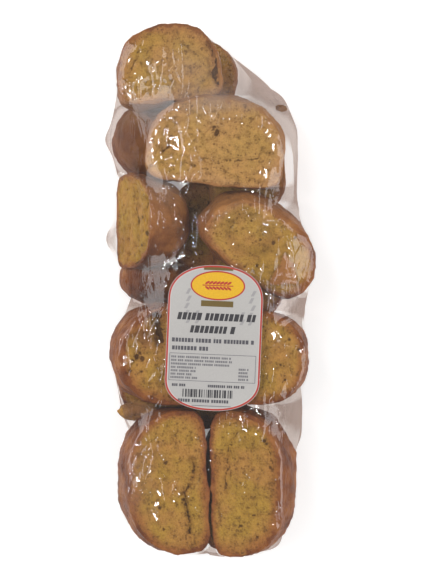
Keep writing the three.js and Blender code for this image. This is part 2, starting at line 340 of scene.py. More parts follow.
@dataclass
class Rusk:
    """A slice or loaf end. Local x is along its foot, y up to its dome, z through it."""
    name: str
    at: tuple
    width: float
    height: float
    turn: float = 0
    tilt: tuple = (0, 0)
    thick: float = SLICE_THICK
    heel: bool = False
    foot_round: float = FOOT_ROUND
    lean: float = 0  # how far the crust leans in towards the upper cut face
    lean_way: float = 90  # bearing of the side that leans in most
    spacing: float = 0.88  # of the mesh
    rim: float = 2.6  # width of the crust seen in the cut
    toasted: float = 4.5  # how far the toasted crumb reaches in from the rim
    hollows: list = field(default_factory=list)  # (x, y, half width, half height, depth)
    holes: list = field(default_factory=list)  # (x, y, radius)
    cracks: list = field(default_factory=list)  # (width, depth, points)
    lumps: list = field(default_factory=list)  # (x, y, half width, half height, rise)
    patches: list = field(default_factory=list)  # smooth tan patches: corner points

    def matrix(self):
        about_x, about_y = (math.radians(angle) for angle in self.tilt)
        spin = Matrix.Rotation(math.radians(self.turn), 4, "Z")
        lean = Matrix.Rotation(about_y, 4, "Y") @ Matrix.Rotation(about_x, 4, "X")
        return Matrix.Translation(self.at) @ lean @ spin


def lower(name, x, y, width, height, turn, **looks):
    """A slice of the lower layer, in a coarser mesh."""
    return Rusk(name, (x, y, LOWER_LAYER_Z), width, height, turn, spacing=1.4, **looks)


RUSKS = [
    Rusk("top_end", (-31, 165.4, 53), 77, 59, 5, (0, 3), rim=2.3, toasted=7,
         cracks=[(2.4, 5.0, [(31, 12), (34.5, 2), (33, -8), (35, -17)]),
                 (1.0, 1.4, [(-30, -6), (-24, 2), (-22, 9)])],
         lumps=[(-7, -22, 8, 5, 1.3), (14, -6, 14, 12, 0.8)]),
    Rusk("shoulder", (4.3, 110.6, 59), 101, 67, -6, (7, 0), lean=1.5, rim=1.8, toasted=10,
         hollows=[(-34, -5, 6, 12, 2.4), (30, 6, 12, 10, 0.8)],
         holes=[(-2.9, 8.8, 1.5), (-0.4, 5.4, 2.3), (-0.9, 3.4, 1.6), (-3.6, 6.6, 1.0), (-13, 5, 1.0)],
         cracks=[(1.0, 2.0, [(-36, -11), (-33.5, -4), (-32, 1)]),
                 (0.8, 1.2, [(-9, -15), (5, -15.5), (13, -13.5), (25, -11.5), (35, -9)]),
                 (0.7, 1.0, [(-22, -19), (-8, -21), (6, -20)])]),
    Rusk("right_leaning", (37, 37.5, 56), 91, 60.5, -36.5, (7, 7), foot_round=2.7,
         lean=6, lean_way=110, rim=2.8,
         hollows=[(-13, -2, 21, 15, 3.2)],
         holes=[(5.6, 3.4, 1.8), (-3.3, -0.6, 1.4), (-21.2, -5.9, 1.0), (-25.7, -4.7, 0.9),
                (-16.9, 6.4, 1.1), (-26.9, 5.1, 0.9), (5.8, -17.2, 1.5), (-0.7, -23, 1.1),
                (16, 16, 1.1)],
         patches=[[(16.9, 1.9), (20.3, -22.8), (37.9, -9.7), (27.1, -0.5)]]),
    Rusk("left_of_label", (-41.2, -45.4, 57), 75, 64, 88, (2, 6), lean=5, rim=3.4, toasted=7,
         hollows=[(9, 9, 9, 12, 2.6)],
         holes=[(-1.6, 13.6, 2.2), (-2.6, 9.6, 2.0), (1.2, 11.6, 1.6), (-4, 16.5, 1.3), (-12, 10, 1.2)],
         cracks=[(3.4, 9.0, [(34, 3), (27, 0), (20, -2.5), (11, -3)]),
                 (1.0, 2.0, [(-14, 20), (-7, 17), (-3, 14)])]),
    Rusk("right_of_label", (41.4, -49, 57), 69, 61, -100, (0, -3), lean=1.5, rim=2.2,
         hollows=[(-4, 8, 10, 9, 1.4)],
         holes=[(-17, 13, 1.3), (2, 10, 1.2), (-11, 21, 1.4), (12, 15, 1.1)]),
    Rusk("bottom_left", (-35, -138.2, 57), 106, 64, 92, (0, 8), lean=4, rim=2.8, toasted=6,
         hollows=[(6, 8, 18, 12, 1.6)],
         holes=[(14.8, -1, 1.6), (-17.3, 4.5, 1.7), (-12.5, -13, 1.6), (-33, 2, 1.3), (30, 4, 1.2)],
         cracks=[(1.0, 4.0, [(17.4, -19.5), (12, -21), (8.7, -21.5), (3, -20)]),
                 (0.9, 4.5, [(-3, -17.5), (-6.7, -13.5), (-13, -14), (-19.8, -15.2), (-29, -17),
                             (-38, -16.2)]),
                 (0.8, 1.6, [(38, -10), (31, -7), (26, 0), (24, 8)])]),
    Rusk("bottom_right", (31.4, -138.8, 57), 107, 61, -89, (0, -9), lean=7, rim=2.8, toasted=6,
         hollows=[(-12, -2, 26, 11, 1.3)],
         holes=[(-31.2, 10, 1.7), (-29, 11.5, 1.2), (-11.9, 14, 1.4), (30, -8, 1.5), (38, 4, 1.3)],
         cracks=[(1.0, 2.6, [(-38, -10), (-28.4, -15.3), (-16, -16.4), (-3, -18.6), (6, -18.2)]),
                 (0.7, 1.4, [(-31, 10), (-21, 15), (-10.4, 16.4), (-2, 15)]),
                 (0.9, 1.8, [(22.7, -5), (23.3, 4.7), (21.8, 15)])]),
    lower("under_top_end", -17, 166.5, 78, 54, -14, rim=1.0, toasted=1.5),
    lower("under_shoulder", 27, 90, 72, 60, -88),
    lower("under_right", 29.5, 15, 80, 58, -94),
    lower("under_left", -41, -63.5, 84, 60, 94, rim=1.4, toasted=2),
    lower("under_label", 8, -71, 65, 44, -92),
    lower("under_bottom_left", -38, -149, 82, 60, 90),
    lower("under_bottom_right", 22.5, -148.6, 92, 56, -90),
    # its wide toasting and crust rim brown it all over, painted shade for the deep gap it lies in
    Rusk("under_middle", (-13, 48, 12), 74, 36, 90, thick=22, spacing=1.4, rim=4, toasted=14),
    Rusk("middle_end", (-42, 6, 24), 55, 32, 0, (180, 0), thick=47, heel=True),
    Rusk("left_end", (-50, 114, 23), 59, 50, 90, (180, 0), thick=45, heel=True),
    Rusk("tilted_end", (-37.4, 52, 41), 70, 62, -90, (0, -62), thick=44, heel=True, toasted=3,
         holes=[(-2, 12, 1.5), (18, 10, 1.3), (24, -10, 1.6), (-24, -12, 1.2)],
         hollows=[(0, 8, 26, 5, 1.8)],
         cracks=[(3.2, 4.0, [(-14, 21), (-4, 18), (8, 20), (20, 17)]),
                 (1.6, 2.5, [(-24, 4), (-10, 1), (2, 3)]), (1.6, 2.5, [(4, -8), (16, -11), (26, -9)]),
                 (2.0, 3.0, [(20, 12), (28, 8), (31, -2)])]),
]


class Outline:
    """The cut outline of a rusk, as its reach from the middle of its belly line."""

    def __init__(self, rusk, rng):
        self.belly = BELLY_SHARE * rusk.height
        self.shift = self.belly - rusk.height / 2
        angle = turns(OUTLINE_STEPS)
        dome = np.sin(angle) >= 0
        power = 2 / np.where(dome, TOP_ROUND, rusk.foot_round)
        reach = np.where(dome, rusk.height - self.belly, self.belly)
        x = np.sign(np.cos(angle)) * np.abs(np.cos(angle)) ** power * rusk.width / 2
        y = np.sign(np.sin(angle)) * np.abs(np.sin(angle)) ** power * reach
        bearing = np.arctan2(y, x) % FULL_TURN
        order = np.argsort(bearing)
        self.bearing, self.distance = bearing[order], np.hypot(x, y)[order]
        self.phases = rng.uniform(0, FULL_TURN, 4)

    def reach(self, bearing):
        """Distance to the crust in a direction, with the slow unevenness of a hand-shaped loaf."""
        even = np.interp(bearing % FULL_TURN, self.bearing, self.distance, period=FULL_TURN)
        wobble = sum(WOBBLE / (i + 1) * np.cos((i + 2) * bearing + phase)
                     for i, phase in enumerate(self.phases))
        return even * (1 + wobble)

    def wall(self, bearing, rise, rusk):
        """Distance to the crust at a height above the lower face, rise as a share of the thickness."""
        if rusk.heel:
            depth = np.clip(1 - rise, 0, 1)
            return self.reach(bearing) * np.clip(1 - depth ** HEEL_ROUND, 0, 1) ** (1 / HEEL_ROUND)
        leaning = np.clip(np.cos(bearing - math.radians(rusk.lean_way)), 0, 1) ** 0.7
        return self.reach(bearing) - CUT_TAPER * rise - rusk.lean * leaning * np.clip(rise, 0, 1) ** 2.2


def rough_shape(rusk, outline):
    """The closed stack of outlines that is remeshed: points and faces."""
    bearing = turns(RING_POINTS)
    if rusk.heel:
        rises = 1 - np.sin(np.linspace(0.985, 0, HEEL_RINGS) * math.pi / 2)
        insets = np.zeros(len(rises))
    else:
        edge = EDGE_ROUND / rusk.thick
        rises = np.array([0, edge * 0.3, edge, 0.25, 0.5, 0.75, 1 - edge, 1 - edge * 0.3, 1])
        insets = EDGE_ROUND * np.array([1, 0.3, 0, 0, 0, 0, 0, 0.3, 1])
    rings = []
    for rise, inset in zip(rises, insets):
        reach = outline.wall(bearing, rise, rusk) - inset
        z = np.full(RING_POINTS, (rise - 0.5) * rusk.thick)
        rings.append(np.stack([reach * np.cos(bearing), reach * np.sin(bearing) + outline.shift, z], 1))
    ends = [[0, outline.shift, rings[0][0, 2]], [0, outline.shift, rings[-1][0, 2]]]
    points = np.concatenate([*rings, ends])
    return points, closed_rings(len(rings), RING_POINTS, 0, len(points) - 2, len(points) - 1)


def even_mesh(points, faces, spacing):
    """The same shape as a mesh of even quads: points, normals and faces."""
    mesh = bpy.data.meshes.new("rough")
    mesh.from_pydata(points.tolist(), [], faces)
    rough = bpy.data.objects.new("rough", mesh)
    bpy.context.scene.collection.objects.link(rough)
    remesh = rough.modifiers.new("remesh", "REMESH")
    remesh.mode = "VOXEL"
    remesh.voxel_size = spacing
    even = bpy.data.meshes.new_from_object(rough.evaluated_get(bpy.context.evaluated_depsgraph_get()))
    found = np.empty(len(even.vertices) * 3)
    even.vertices.foreach_get("co", found)
    normals = np.empty(len(even.vertices) * 3)
    even.vertex_normals.foreach_get("vector", normals)
    quads = [tuple(polygon.vertices) for polygon in even.polygons]
    bpy.data.objects.remove(rough)
    bpy.data.meshes.remove(mesh)
    bpy.data.meshes.remove(even)
    return found.reshape(-1, 3), normals.reshape(-1, 3), quads


def distance_to_line(x, y, corners):
    """Distance of each point from a line through corners, all in the plane of the cut."""
    best = np.full(len(x), np.inf)
    for (x0, y0), (x1, y1) in zip(corners, corners[1:]):
        dx, dy = x1 - x0, y1 - y0
        share = np.clip(((x - x0) * dx + (y - y0) * dy) / (dx * dx + dy * dy), 0, 1)
        best = np.minimum(best, np.hypot(x - x0 - share * dx, y - y0 - share * dy))
    return best


def closed_rings(rows, columns, first, start_tip, end_tip):
    """Faces between closed rings of points, with a fan to a tip over each end."""
    faces = []
    for row in range(rows - 1):
        here = first + row * columns
        for i in range(columns):
            beside = (i + 1) % columns
            faces.append((here + i, here + beside, here + columns + beside, here + columns + i))
    last = first + (rows - 1) * columns
    for i in range(columns):
        beside = (i + 1) % columns
        faces.append((start_tip, first + beside, first + i))
        faces.append((end_tip, last + i, last + beside))
    return faces


def joined(parts):
    """Several meshes as one, each given and returned as points and faces."""
    faces, first = [], 0
    for points, part_faces in parts:
        faces.extend(tuple(first + i for i in face) for face in part_faces)
        first += len(points)
    return np.concatenate([points for points, _ in parts]), faces


def inside_corners(x, y, corners):
    """How far each point lies inside a convex patch, in mm; below 0 outside it."""
    inner = np.full(len(x), np.inf)
    for (x0, y0), (x1, y1) in zip(corners, [*corners[1:], corners[0]]):
        dx, dy = x1 - x0, y1 - y0
        inner = np.minimum(inner, (dx * (y - y0) - dy * (x - x0)) / math.hypot(dx, dy))
    return inner


class Cut:
    """One cut face: its depth, its painted shade, and the signed distance from its open holes."""

    def __init__(self, x, y, grain, rng):
        self.x, self.y, self.grain, self.rng = x, y, grain, rng
        self.depth = np.zeros(len(x))
        self.shade = np.zeros(len(x))
        self.opening = np.full(len(x), FAR_FROM_OPENINGS)

    def tear(self):
        """Soft lumps, torn flakes with crisp edges and thin folds between layers, with painted shade in the
        folds.
        """
        soft = ripples(self.grain, TEAR_SIZES, self.rng)
        flakes = 0.5 * smooth_step(waves(self.grain, 9, self.rng), 0.4, 0.75)
        folds = np.clip(1 - np.abs(waves(self.grain, 13, self.rng)) * 6, 0, 1)
        folds *= smooth_step(waves(self.grain, 20, self.rng), 0.0, 0.8)
        self.depth += 0.55 * folds - soft - flakes
        # painted shade in the folds between layers
        self.shade = np.maximum(self.shade, 0.45 * folds)

    def hole(self, cx, cy, radius, flat, along, dark=True):
        """One open cell, flattened along a direction. A dark one gets a crisp torn edge that the material
        fills with painted deep shade; the others get a soft painted shade in their bowl.
        """
        wide = radius * flat
        near = (np.abs(self.x - cx) < wide + 2) & (np.abs(self.y - cy) < wide + 2)
        if not near.any():
            return
        dx, dy = self.x[near] - cx, self.y[near] - cy
        u = (dx * math.cos(along) + dy * math.sin(along)) / wide
        v = (-dx * math.sin(along) + dy * math.cos(along)) / radius
        share = np.hypot(u, v)
        bowl = np.sqrt(np.clip(1 - share * share, 0, 1))
        self.depth[near] = np.maximum(self.depth[near], bowl * radius * 1.3)
        if dark:
            # painted deep shade: the material darkens the points near this opening
            self.opening[near] = np.minimum(self.opening[near], (share - 0.85) * radius)
        else:
            # a soft painted shade in the pore's bowl
            self.shade[near] = np.maximum(self.shade[near], 0.36 * smooth_step(share, 1.15, 0.55))

    def pores(self, rusk):
        """Open cells of many sizes that follow the crust, many of them in clusters, each with a soft
        painted shade in its bowl.
        """
        count = int(rusk.width * rusk.height * PORES_PER_SQUARE)
        size = (rusk.width, rusk.height)
        centres = self.rng.uniform(-0.5, 0.5, (count, 2)) * size
        clusters = self.rng.uniform(-0.5, 0.5, (PORE_CLUSTERS, 2)) * size
        chosen = clusters[self.rng.integers(0, PORE_CLUSTERS, count)]
        chosen += self.rng.normal(0, CLUSTER_SPREAD, (count, 2))
        clustered = self.rng.random(count) < CLUSTERED_SHARE
        centres[clustered] = chosen[clustered]
        radii = np.clip(self.rng.lognormal(-0.6, 0.38, count), 0.3, 1.3)
        flats = self.rng.uniform(1.0, 2.2, count)
        for (cx, cy), radius, flat in zip(centres, radii, flats):
            along = math.atan2(cy, cx) + math.pi / 2 + self.rng.normal(0, 0.4)
            self.hole(cx, cy, radius, flat, along, dark=False)

    def crack(self, width, deep, corners):
        """A ragged crack that narrows and widens along its way."""
        wander = ripples(self.grain, CRACK_SIZES, self.rng)
        gap = distance_to_line(self.x + wander, self.y + 0.6 * wander, corners)
        half = width / 2 * (1 + 0.45 * waves(self.grain, 6, self.rng))
        self.depth += deep * np.exp(-(gap / (width + 0.5)) ** 2)
        # the material paints deep shade inside this opening
        self.opening = np.minimum(self.opening, gap - half)

    def oval_share(self, cx, cy, half_width, half_height):
        """0 in the middle of an oval, 1 on its edge."""
        return ((self.x - cx) / half_width) ** 2 + ((self.y - cy) / half_height) ** 2

    def hollow(self, *oval, deep):
        share = self.oval_share(*oval)
        self.depth += deep * np.exp(-share ** 1.5)
        # painted shade along the hollow's rim
        self.shade = np.maximum(self.shade, 0.10 * deep * np.exp(-(share - 0.7) ** 2 * 6))

    def lump(self, *oval, rise):
        share = self.oval_share(*oval)
        self.depth -= rise * smooth_step(share, 1.15, 0.75)
        # a ring of painted shadow around the lump's foot
        self.shade = np.maximum(self.shade, 0.35 * np.exp(-((share - 1.15) / 0.16) ** 2))

    def marks(self, rusk):
        """The marks listed for the rusk."""
        for *oval, deep in rusk.hollows:
            self.hollow(*oval, deep=deep)
        for *oval, rise in rusk.lumps:
            self.lump(*oval, rise=rise)
        for x, y, radius in rusk.holes:
            self.hole(x, y, radius, 1.25, self.rng.uniform(0, math.pi))
        for crack in rusk.cracks:
            self.crack(*crack)


def both_cuts(rusk, x, y, grain, flats, rng):
    """The two cut faces together: how deep each point is, its painted shade, and how far from a hole."""
    depth, shade = np.zeros(len(x)), np.zeros(len(x))
    opening = np.full(len(x), FAR_FROM_OPENINGS)
    for flat, marked in zip(flats, (True, False)):
        cut = Cut(x, y, grain, rng)
        cut.tear()
        cut.pores(rusk)
        if marked:
            cut.marks(rusk)
        depth += flat * cut.depth
        shade = np.maximum(shade, flat * cut.shade)
        opening = np.where(flat > 0.5, cut.opening, opening)
    return depth, shade, opening


def smooth_patches(rusk, x, y, upper, ragged):
    """Where the upper cut has a smooth patch, and a line of painted shade around its raised edge."""
    patch, line = np.zeros(len(x)), np.zeros(len(x))
    for corners in rusk.patches:
        inner = inside_corners(x, y, corners) + 0.35 * ragged
        patch = np.maximum(patch, upper * smooth_step(inner, -0.4, 0.4))
        # painted shade just outside the patch's raised edge
        line = np.maximum(line, 0.5 * upper * np.exp(-((inner + 0.7) / 0.6) ** 2))
    return patch, line


def in_the_bag(points, rusk):
    """A rusk's own points put in their place in the bag, none of them in the table."""
    matrix = np.array(rusk.matrix())
    world = points @ matrix[:3, :3].T + matrix[:3, 3]
    world[:, 2] = np.maximum(world[:, 2], LOWEST_CRUST)
    return world


def make_rusk(rusk, number, material):
    rng = np.random.default_rng(FIRST_RUSK_SEED + number)
    outline = Outline(rusk, rng)
    points, normals, faces = even_mesh(*rough_shape(rusk, outline), rusk.spacing)
    x, y, z = points.T
    from_belly = y - outline.shift
    grain = points + rng.uniform(-500, 500, 3)
    wall = outline.wall(np.arctan2(from_belly, x), z / rusk.thick + 0.5, rusk)
    inside = wall - np.hypot(x, from_belly)
    upper = smooth_step(normals[:, 2], CUT_FROM, CUT_WHOLE)
    under = smooth_step(-normals[:, 2], CUT_FROM, CUT_WHOLE) * (0 if rusk.heel else 1)
    ragged = ripples(grain, RAGGED_SIZES, rng)
    crumb = (upper + under) * smooth_step(inside + ragged, rusk.rim - CRUMB_BLUR, rusk.rim + CRUMB_BLUR)
    flats = [side * smooth_step(inside, 0.4, 3.5) for side in (upper, under)]
    depth, shade, opening = both_cuts(rusk, x, y, grain, flats, rng)
    patch, line = smooth_patches(rusk, x, y, upper, ragged)
    depth = depth * (1 - patch) - PATCH_LIFT * patch
    opening = np.where(patch > 0.4, FAR_FROM_OPENINGS, opening)
    skin = (1 - upper - under) * ripples(grain, SKIN_SIZES, rng)
    world = in_the_bag(points + normals * (skin - depth)[:, None], rusk)
    toast = np.exp(-(np.clip(inside - rusk.rim, 0, None) / rusk.toasted) ** 1.4)
    # shade is painted shade from folds, pores, hollow rims, lump feet and patch edges
    numbers = {"crust": 1 - crumb, "shade": np.maximum(shade, line), "opening": opening,
               "toast": toast + ripples(grain, TOAST_SIZES, rng), "smooth_patch": patch,
               "pale": spots(world, PALE)}
    keep_piece(make_object("rusk_" + rusk.name, world, faces, material, numbers, grain))
    return world, faces


def crumb_colour(make, grain, fine, middle, pale):
    """Torn crumb, browner towards the rim, with its paler and darker spots."""
    broad = make.noise(grain, 0.045, 2)
    crumb = make.ramp(broad, (0.40, srgb(166, 128, 50)), (0.62, srgb(171, 124, 60)))
    browned = make.blend(pale, srgb(150, 97, 46), srgb(180, 134, 88))
    crumb = make.blend(make.step(make.number("toast"), 0.15, 1.05), crumb, browned)
    crumb = make.blend(make.times(pale, 0.55), crumb, srgb(186, 144, 88))
    mottle = make.math("MULTIPLY_ADD", middle, 0.5, make.times(fine, 0.5))
    tone = make.ramp(mottle, (0.34, (0.62, 0.57, 0.48)), (0.50, (1.0,) * 3), (0.66, (1.26, 1.26, 1.24)))
    return make.blend(1.0, crumb, tone, "MULTIPLY")


def crust_colour(make, grain, pale):
    """Blistered, freckled crust, from dark brown to tan."""
    blister = make.noise(grain, 0.07, 3)
    freckle = make.noise(grain, 1.1, 2)
    mixed = make.math("MULTIPLY_ADD", freckle, 0.25, make.times(blister, 0.75))
    crust = make.ramp(mixed, (0.33, srgb(84, 38, 16)), (0.50, srgb(127, 70, 29)),
                      (0.68, srgb(162, 104, 50)))
    return make.blend(make.times(pale, 0.85), crust, srgb(172, 126, 76))


def small_pores(make, grain, middle):
    """1 in the smallest pores, which are only bumped and painted with shade."""
    cells = make.cells(make.stretch(grain, (1, 1, 1.4)), 0.42)
    cells = make.math("ADD", cells, make.times(make.math("SUBTRACT", middle, 0.5), 0.9))
    return make.step(cells, 0.26, 0.14)


def bread_material():
    """Toasted crumb, its open cells, and the browner crust, with painted shade in pores, holes, cracks,
    folds and around raised parts, from one set of point attributes.
    """
    make = Shader("rusk_bread")
    grain, crust, pale = make.vector("grain"), make.number("crust"), make.number("pale")
    fine, middle = make.noise(grain, 0.85, 4), make.noise(grain, 0.20, 3)
    pores = small_pores(make, grain, middle)
    crumb = crumb_colour(make, grain, fine, middle, pale)
    # painted shade in the smallest pores
    crumb = make.blend(make.times(pores, 0.40), crumb, srgb(100, 62, 26))
    crumb = make.blend(make.number("smooth_patch"), crumb, srgb(166, 112, 60))
    colour = make.blend(crust, crumb, crust_colour(make, grain, pale))
    # painted shade from the shade attribute
    colour = make.blend(make.number("shade"), colour, srgb(92, 56, 20))
    # painted deep shade in open holes and cracks, ragged at its edge
    edge = make.math("MULTIPLY_ADD", make.math("SUBTRACT", fine, 0.5), 1.6, make.number("opening"))
    colour = make.blend(make.step(edge, 0.22, -0.5, 0.0, 0.8), colour, srgb(74, 44, 16))
    height = make.math("SUBTRACT", make.times(fine, 0.9), pores)
    relief = make.times(height, make.step(crust, 0.0, 1.0, 1.0, 0.3))
    return make.finish(make.surface({
        "Base Color": colour, "Roughness": make.step(crust, 0.0, 1.0, 0.86, 0.55),
        "Normal": make.bump(relief, 0.9, 0.0009), "Specular IOR Level": 0.15,
    }))


def make_rusks():
    """All the rusks and crumbs, and one tree of their surfaces that the film is wrapped around."""
    material = bread_material()
    made = [make_rusk(rusk, number, material) for number, rusk in enumerate(RUSKS)]
    points, faces = joined([*made, make_crumbs(material)])
    return BVHTree.FromPolygons(points.tolist(), faces)


CRUMBS = [  # (x, y, z, radius, flatness): a broken chunk, a brown flake, then crumbs in the gap
    (-53, -88, 43, 9.5, 0.66), (52, 136, 40, 3.2, 0.45), (-15, 64, 24.6, 1.9, 0.7),
    (-7, 52, 24.4, 1.5, 0.8), (-12, 38, 24.3, 1.2, 0.8), (-4, 67, 24.5, 1.4, 0.7),
    (-17, 27, 24.3, 1.1, 0.8), (-8, 30, 24.3, 1.6, 0.6),
]
CRUMB_LOOKS = {"crust": 0.1, "shade": 0, "opening": FAR_FROM_OPENINGS, "toast": 0.5,
               "smooth_patch": 0, "pale": 0.7}
BALL_TURNS, BALL_RINGS = 16, 9
BALL_END = 0.47  # how far from its equator a ball's last ring lies, in half turns


def make_crumbs(material):
    """Small torn lumps that lie among the rusks, in one piece: its points and faces."""
    lumps = []
    for number, (x, y, z, radius, flatness) in enumerate(CRUMBS):
        rng = np.random.default_rng(FIRST_CRUMB_SEED + number)
        lump, _, quads = even_mesh(*ball(radius), max(0.2 * radius, 0.4))
        torn = ripples(lump, ((0.15, 1.8 * radius), (0.07, 0.5 * radius)), rng)
        lumps.append((lump * (1 + torn)[:, None] * (1.3, 0.95, flatness) + (x, y, z), quads))
    points, faces = joined(lumps)
    numbers = {name: np.full(len(points), value) for name, value in CRUMB_LOOKS.items()}
    keep_piece(make_object("loose_crumbs", points, faces, material, numbers, points))
    return points, faces


def ball(radius):
    """A coarse ball with flat ends, to be remeshed."""
    rises = np.linspace(-BALL_END, BALL_END, BALL_RINGS) * math.pi
    points = [(radius * math.cos(rise) * math.cos(turn), radius * math.cos(rise) * math.sin(turn),
               radius * math.sin(rise)) for rise in rises for turn in turns(BALL_TURNS)]
    tips = [(0, 0, radius * math.sin(rises[0])), (0, 0, radius * math.sin(rises[-1]))]
    points = np.array(points + tips)
    return points, closed_rings(BALL_RINGS, BALL_TURNS, 0, len(points) - 2, len(points) - 1)


# ---- the label's place ----

LABEL_WIDTH, LABEL_LENGTH = 68, 104
LABEL_AT = (2.3, -33.3)
LABEL_COS, LABEL_SIN = math.cos(math.radians(-2.4)), math.sin(math.radians(-2.4))  # of the label's turn
LABEL_HEIGHT = 80  # underside at the middle
LABEL_BOW = 1.2
TOP_CAP, FOOT_CAP = 25, 22
LABEL_ROUND = 2.25
LABEL_CLEARANCE = 0.35
LABEL_MARGIN = 3
PAPER_THICK = 0.25


def to_label(x, y):
    """Points of the frame in the label's own flat coordinates, u across and v along."""
    dx, dy = x - LABEL_AT[0], y - LABEL_AT[1]
    return dx * LABEL_COS + dy * LABEL_SIN, -dx * LABEL_SIN + dy * LABEL_COS


def paper_underside(u):
    return LABEL_HEIGHT - LABEL_BOW * (2 * u / LABEL_WIDTH) ** 2


def on_label(u, v, lift):
    """Points of the frame from flat label coordinates, lift above the paper's upper face."""
    x = LABEL_AT[0] + u * LABEL_COS - v * LABEL_SIN
    y = LABEL_AT[1] + u * LABEL_SIN + v * LABEL_COS
    return np.stack([x, y, paper_underside(u) + PAPER_THICK + lift], -1)


def label_edge(angle, inset=0.0):
    """The label's outline, straight sides between two rounded ends, moved in by inset."""
    side, end = np.cos(angle), np.sin(angle)
    cap = np.where(end >= 0, TOP_CAP, FOOT_CAP)
    straight = LABEL_LENGTH / 2 - cap
    power = 2 / LABEL_ROUND
    u = np.sign(side) * np.abs(side) ** power * (LABEL_WIDTH / 2 - inset)
    v = np.sign(end) * (straight + np.abs(end) ** power * (cap - inset))
    return u, v


# ---- the film ----

SPINE_HEIGHT = 38
SPINE = [(-150, -2), (-50, -1), (40, 0), (100, -10), (150, -25)]  # (y, x): where the rays start
FILM_GAP = 1.25  # over a crust as the film is drawn tight; easing the film may take FILM_GIVE of it
FILM_GIVE = 1.0
FILM_AROUND = 264
FILM_SIDE_ROWS = 261
FILM_END_ROWS = 50
ALONG_PULL = 1.6
LEAST_RISE_TO_LABEL = 0.6  # film rays that rise less steeply don't reach the label
RAY_START = 170
FAR = 1e6  # further along a ray than anything
LEAST_PART = 1e-6  # keeps divisions by a ray's part in one direction finite
SECTION_HALF_WIDTH, SECTION_HALF_HEIGHT = 72, 41  # of the rounded box that spaces the rays
BACK_BELOW, BACK_SHARE = -24, 0.3  # lower down, a length of the box gets this share of the rays
DRAW_STEPS = ((4, 500), (2, 160), (1, 60))  # (every so many points, sweeps)
SLIDE_KEPT, SLIDE_NEW = 0.1, 0.9
SOFTENING_PASSES = 60
EASING_PASSES = 30
FOLD_RADIUS, FOLD_STEP = 7, 4
FOLDS = [  # rolls of air under the film where it stands off the rusks, each through (x, y, z) points
    [(35, 149, 44), (49, 140, 44), (58, 119, 42), (58, 98, 42), (57, 77, 42)],
    [(-73, 113, 38)], [(-73, 40, 34), (-68, 26, 30)], [(71, 14, 40)], [(61, -82, 40), (61, -107, 38)],
    [(-65, -146, 20)], [(47, -187, 30)], [(6, -190, 40)],
]
PINCHES = [(-58, -4), (-69, 82), (-60, -104), (71, -14), (61.5, -121)]  # the film is drawn in: (x, y)
PINCH_SLOPE, PINCH_REACH = 0.48, 34
FILM_SEED = 7
TABLE_MARGIN = 1.5  # film this near the table isn't creased
LOWEST_FILM = 0.05
CRUMPLE_EVERYWHERE = 0.10
CRUMPLES = [  # where the film is crumpled: (x, y, radius)
    (-56, -135, 22), (-62, -45, 16), (-50, 8, 13), (60, 0, 16), (58, -88, 22), (-38, 58, 14),
]
CREASES = [  # straight ridges that catch the light: x, y at both ends, then the height
    (-48, 180.4, -43, 184.2, 0.4), (-64, 143, -61, 138, 0.5), (-8, 143, -9, 137, 0.4),
    (-21, 118, -18, 100, 0.6), (-62, 114, -68, 108, 0.5), (-64, 108, -58, 102, 0.5),
    (-16, 73, -11, 83, 0.5), (53, 98, 53, 85, 0.6), (49, 91, 50, 83, 0.6),
    (-43, 73, -40, 64, 0.7), (-35, 62, -29, 55, 0.7), (-41, 54, -39, 46, 0.6), (-53, 30, -51, 21, 0.6),
    (-39, 32, -37, 28, 0.5), (-62, 33, -61, 22, 0.6), (-19, 37, -17, 30, 0.5), (-30, 17, -28, 8, 0.8),
    (-48, 16, -46, -2, 1.0), (-54, 12, -50, -3, 0.8), (-42, 14, -42, 0, 0.8), (-61, -38, -54, -21, 0.7),
    (-48, -5, -44, -22, 0.8), (-57, -28, -52, -14, 0.6), (-53, -33, -50, -42, 0.5),
    (46, 2, 66, -8, 0.9), (48, -3, 66, -12, 0.9), (50, -22, 68, -14, 0.7), (53, -9, 70, -16, 0.7),
    (39, -61, 43, -74, 0.6), (44, -56, 42, -65, 0.6), (64, -47, 68, -38, 0.6),
    (46, -78, 53, -65, 0.6), (37, -101, 35, -107, 0.5), (50, -83, 47, -96, 0.6),
    (-29, -102, -22, -108, 0.5), (24, -129, 26, -133, 0.5), (-57, -114, -54, -128, 0.8),
    (-52, -116, -51, -127, 0.8), (-38, -106, -35, -118, 0.7), (-34, -108, -36, -120, 0.7),
    (-52, -142, -43, -150, 0.8), (-47, -146, -42, -154, 0.7), (-44, -153, -39, -166, 0.7),
    (-26, -127, -23, -135, 0.6), (-59, -146, -53, -152, 0.8),
]
CREASE_HALF_WIDTH = 1.9
CLOUDS = [  # milky patches: (x, y, half width, half length, strength)
    (-15, 154, 22, 22, 0.14), (12, 137, 40, 9, 0.24), (-33, 73, 9, 9, 0.14), (-58, -138, 14, 30, 0.08),
]


def film_angles():
    """Angles around the pack, close together above and at the sides and wide apart below."""
    fine = np.linspace(0, FULL_TURN, 3600)
    across, up = np.sin(fine) / SECTION_HALF_WIDTH, np.cos(fine) / SECTION_HALF_HEIGHT
    reach = (np.abs(across) ** 4 + np.abs(up) ** 4) ** -0.25
    x, z = reach * np.sin(fine), reach * np.cos(fine)
    middle = (z[1:] + z[:-1]) / 2
    share = np.hypot(np.diff(x), np.diff(z)) * np.where(middle > BACK_BELOW, 1.0, BACK_SHARE)
    total = np.concatenate([[0], np.cumsum(share)])
    return np.interp(np.arange(FILM_AROUND) * total[-1] / FILM_AROUND, total, fine)


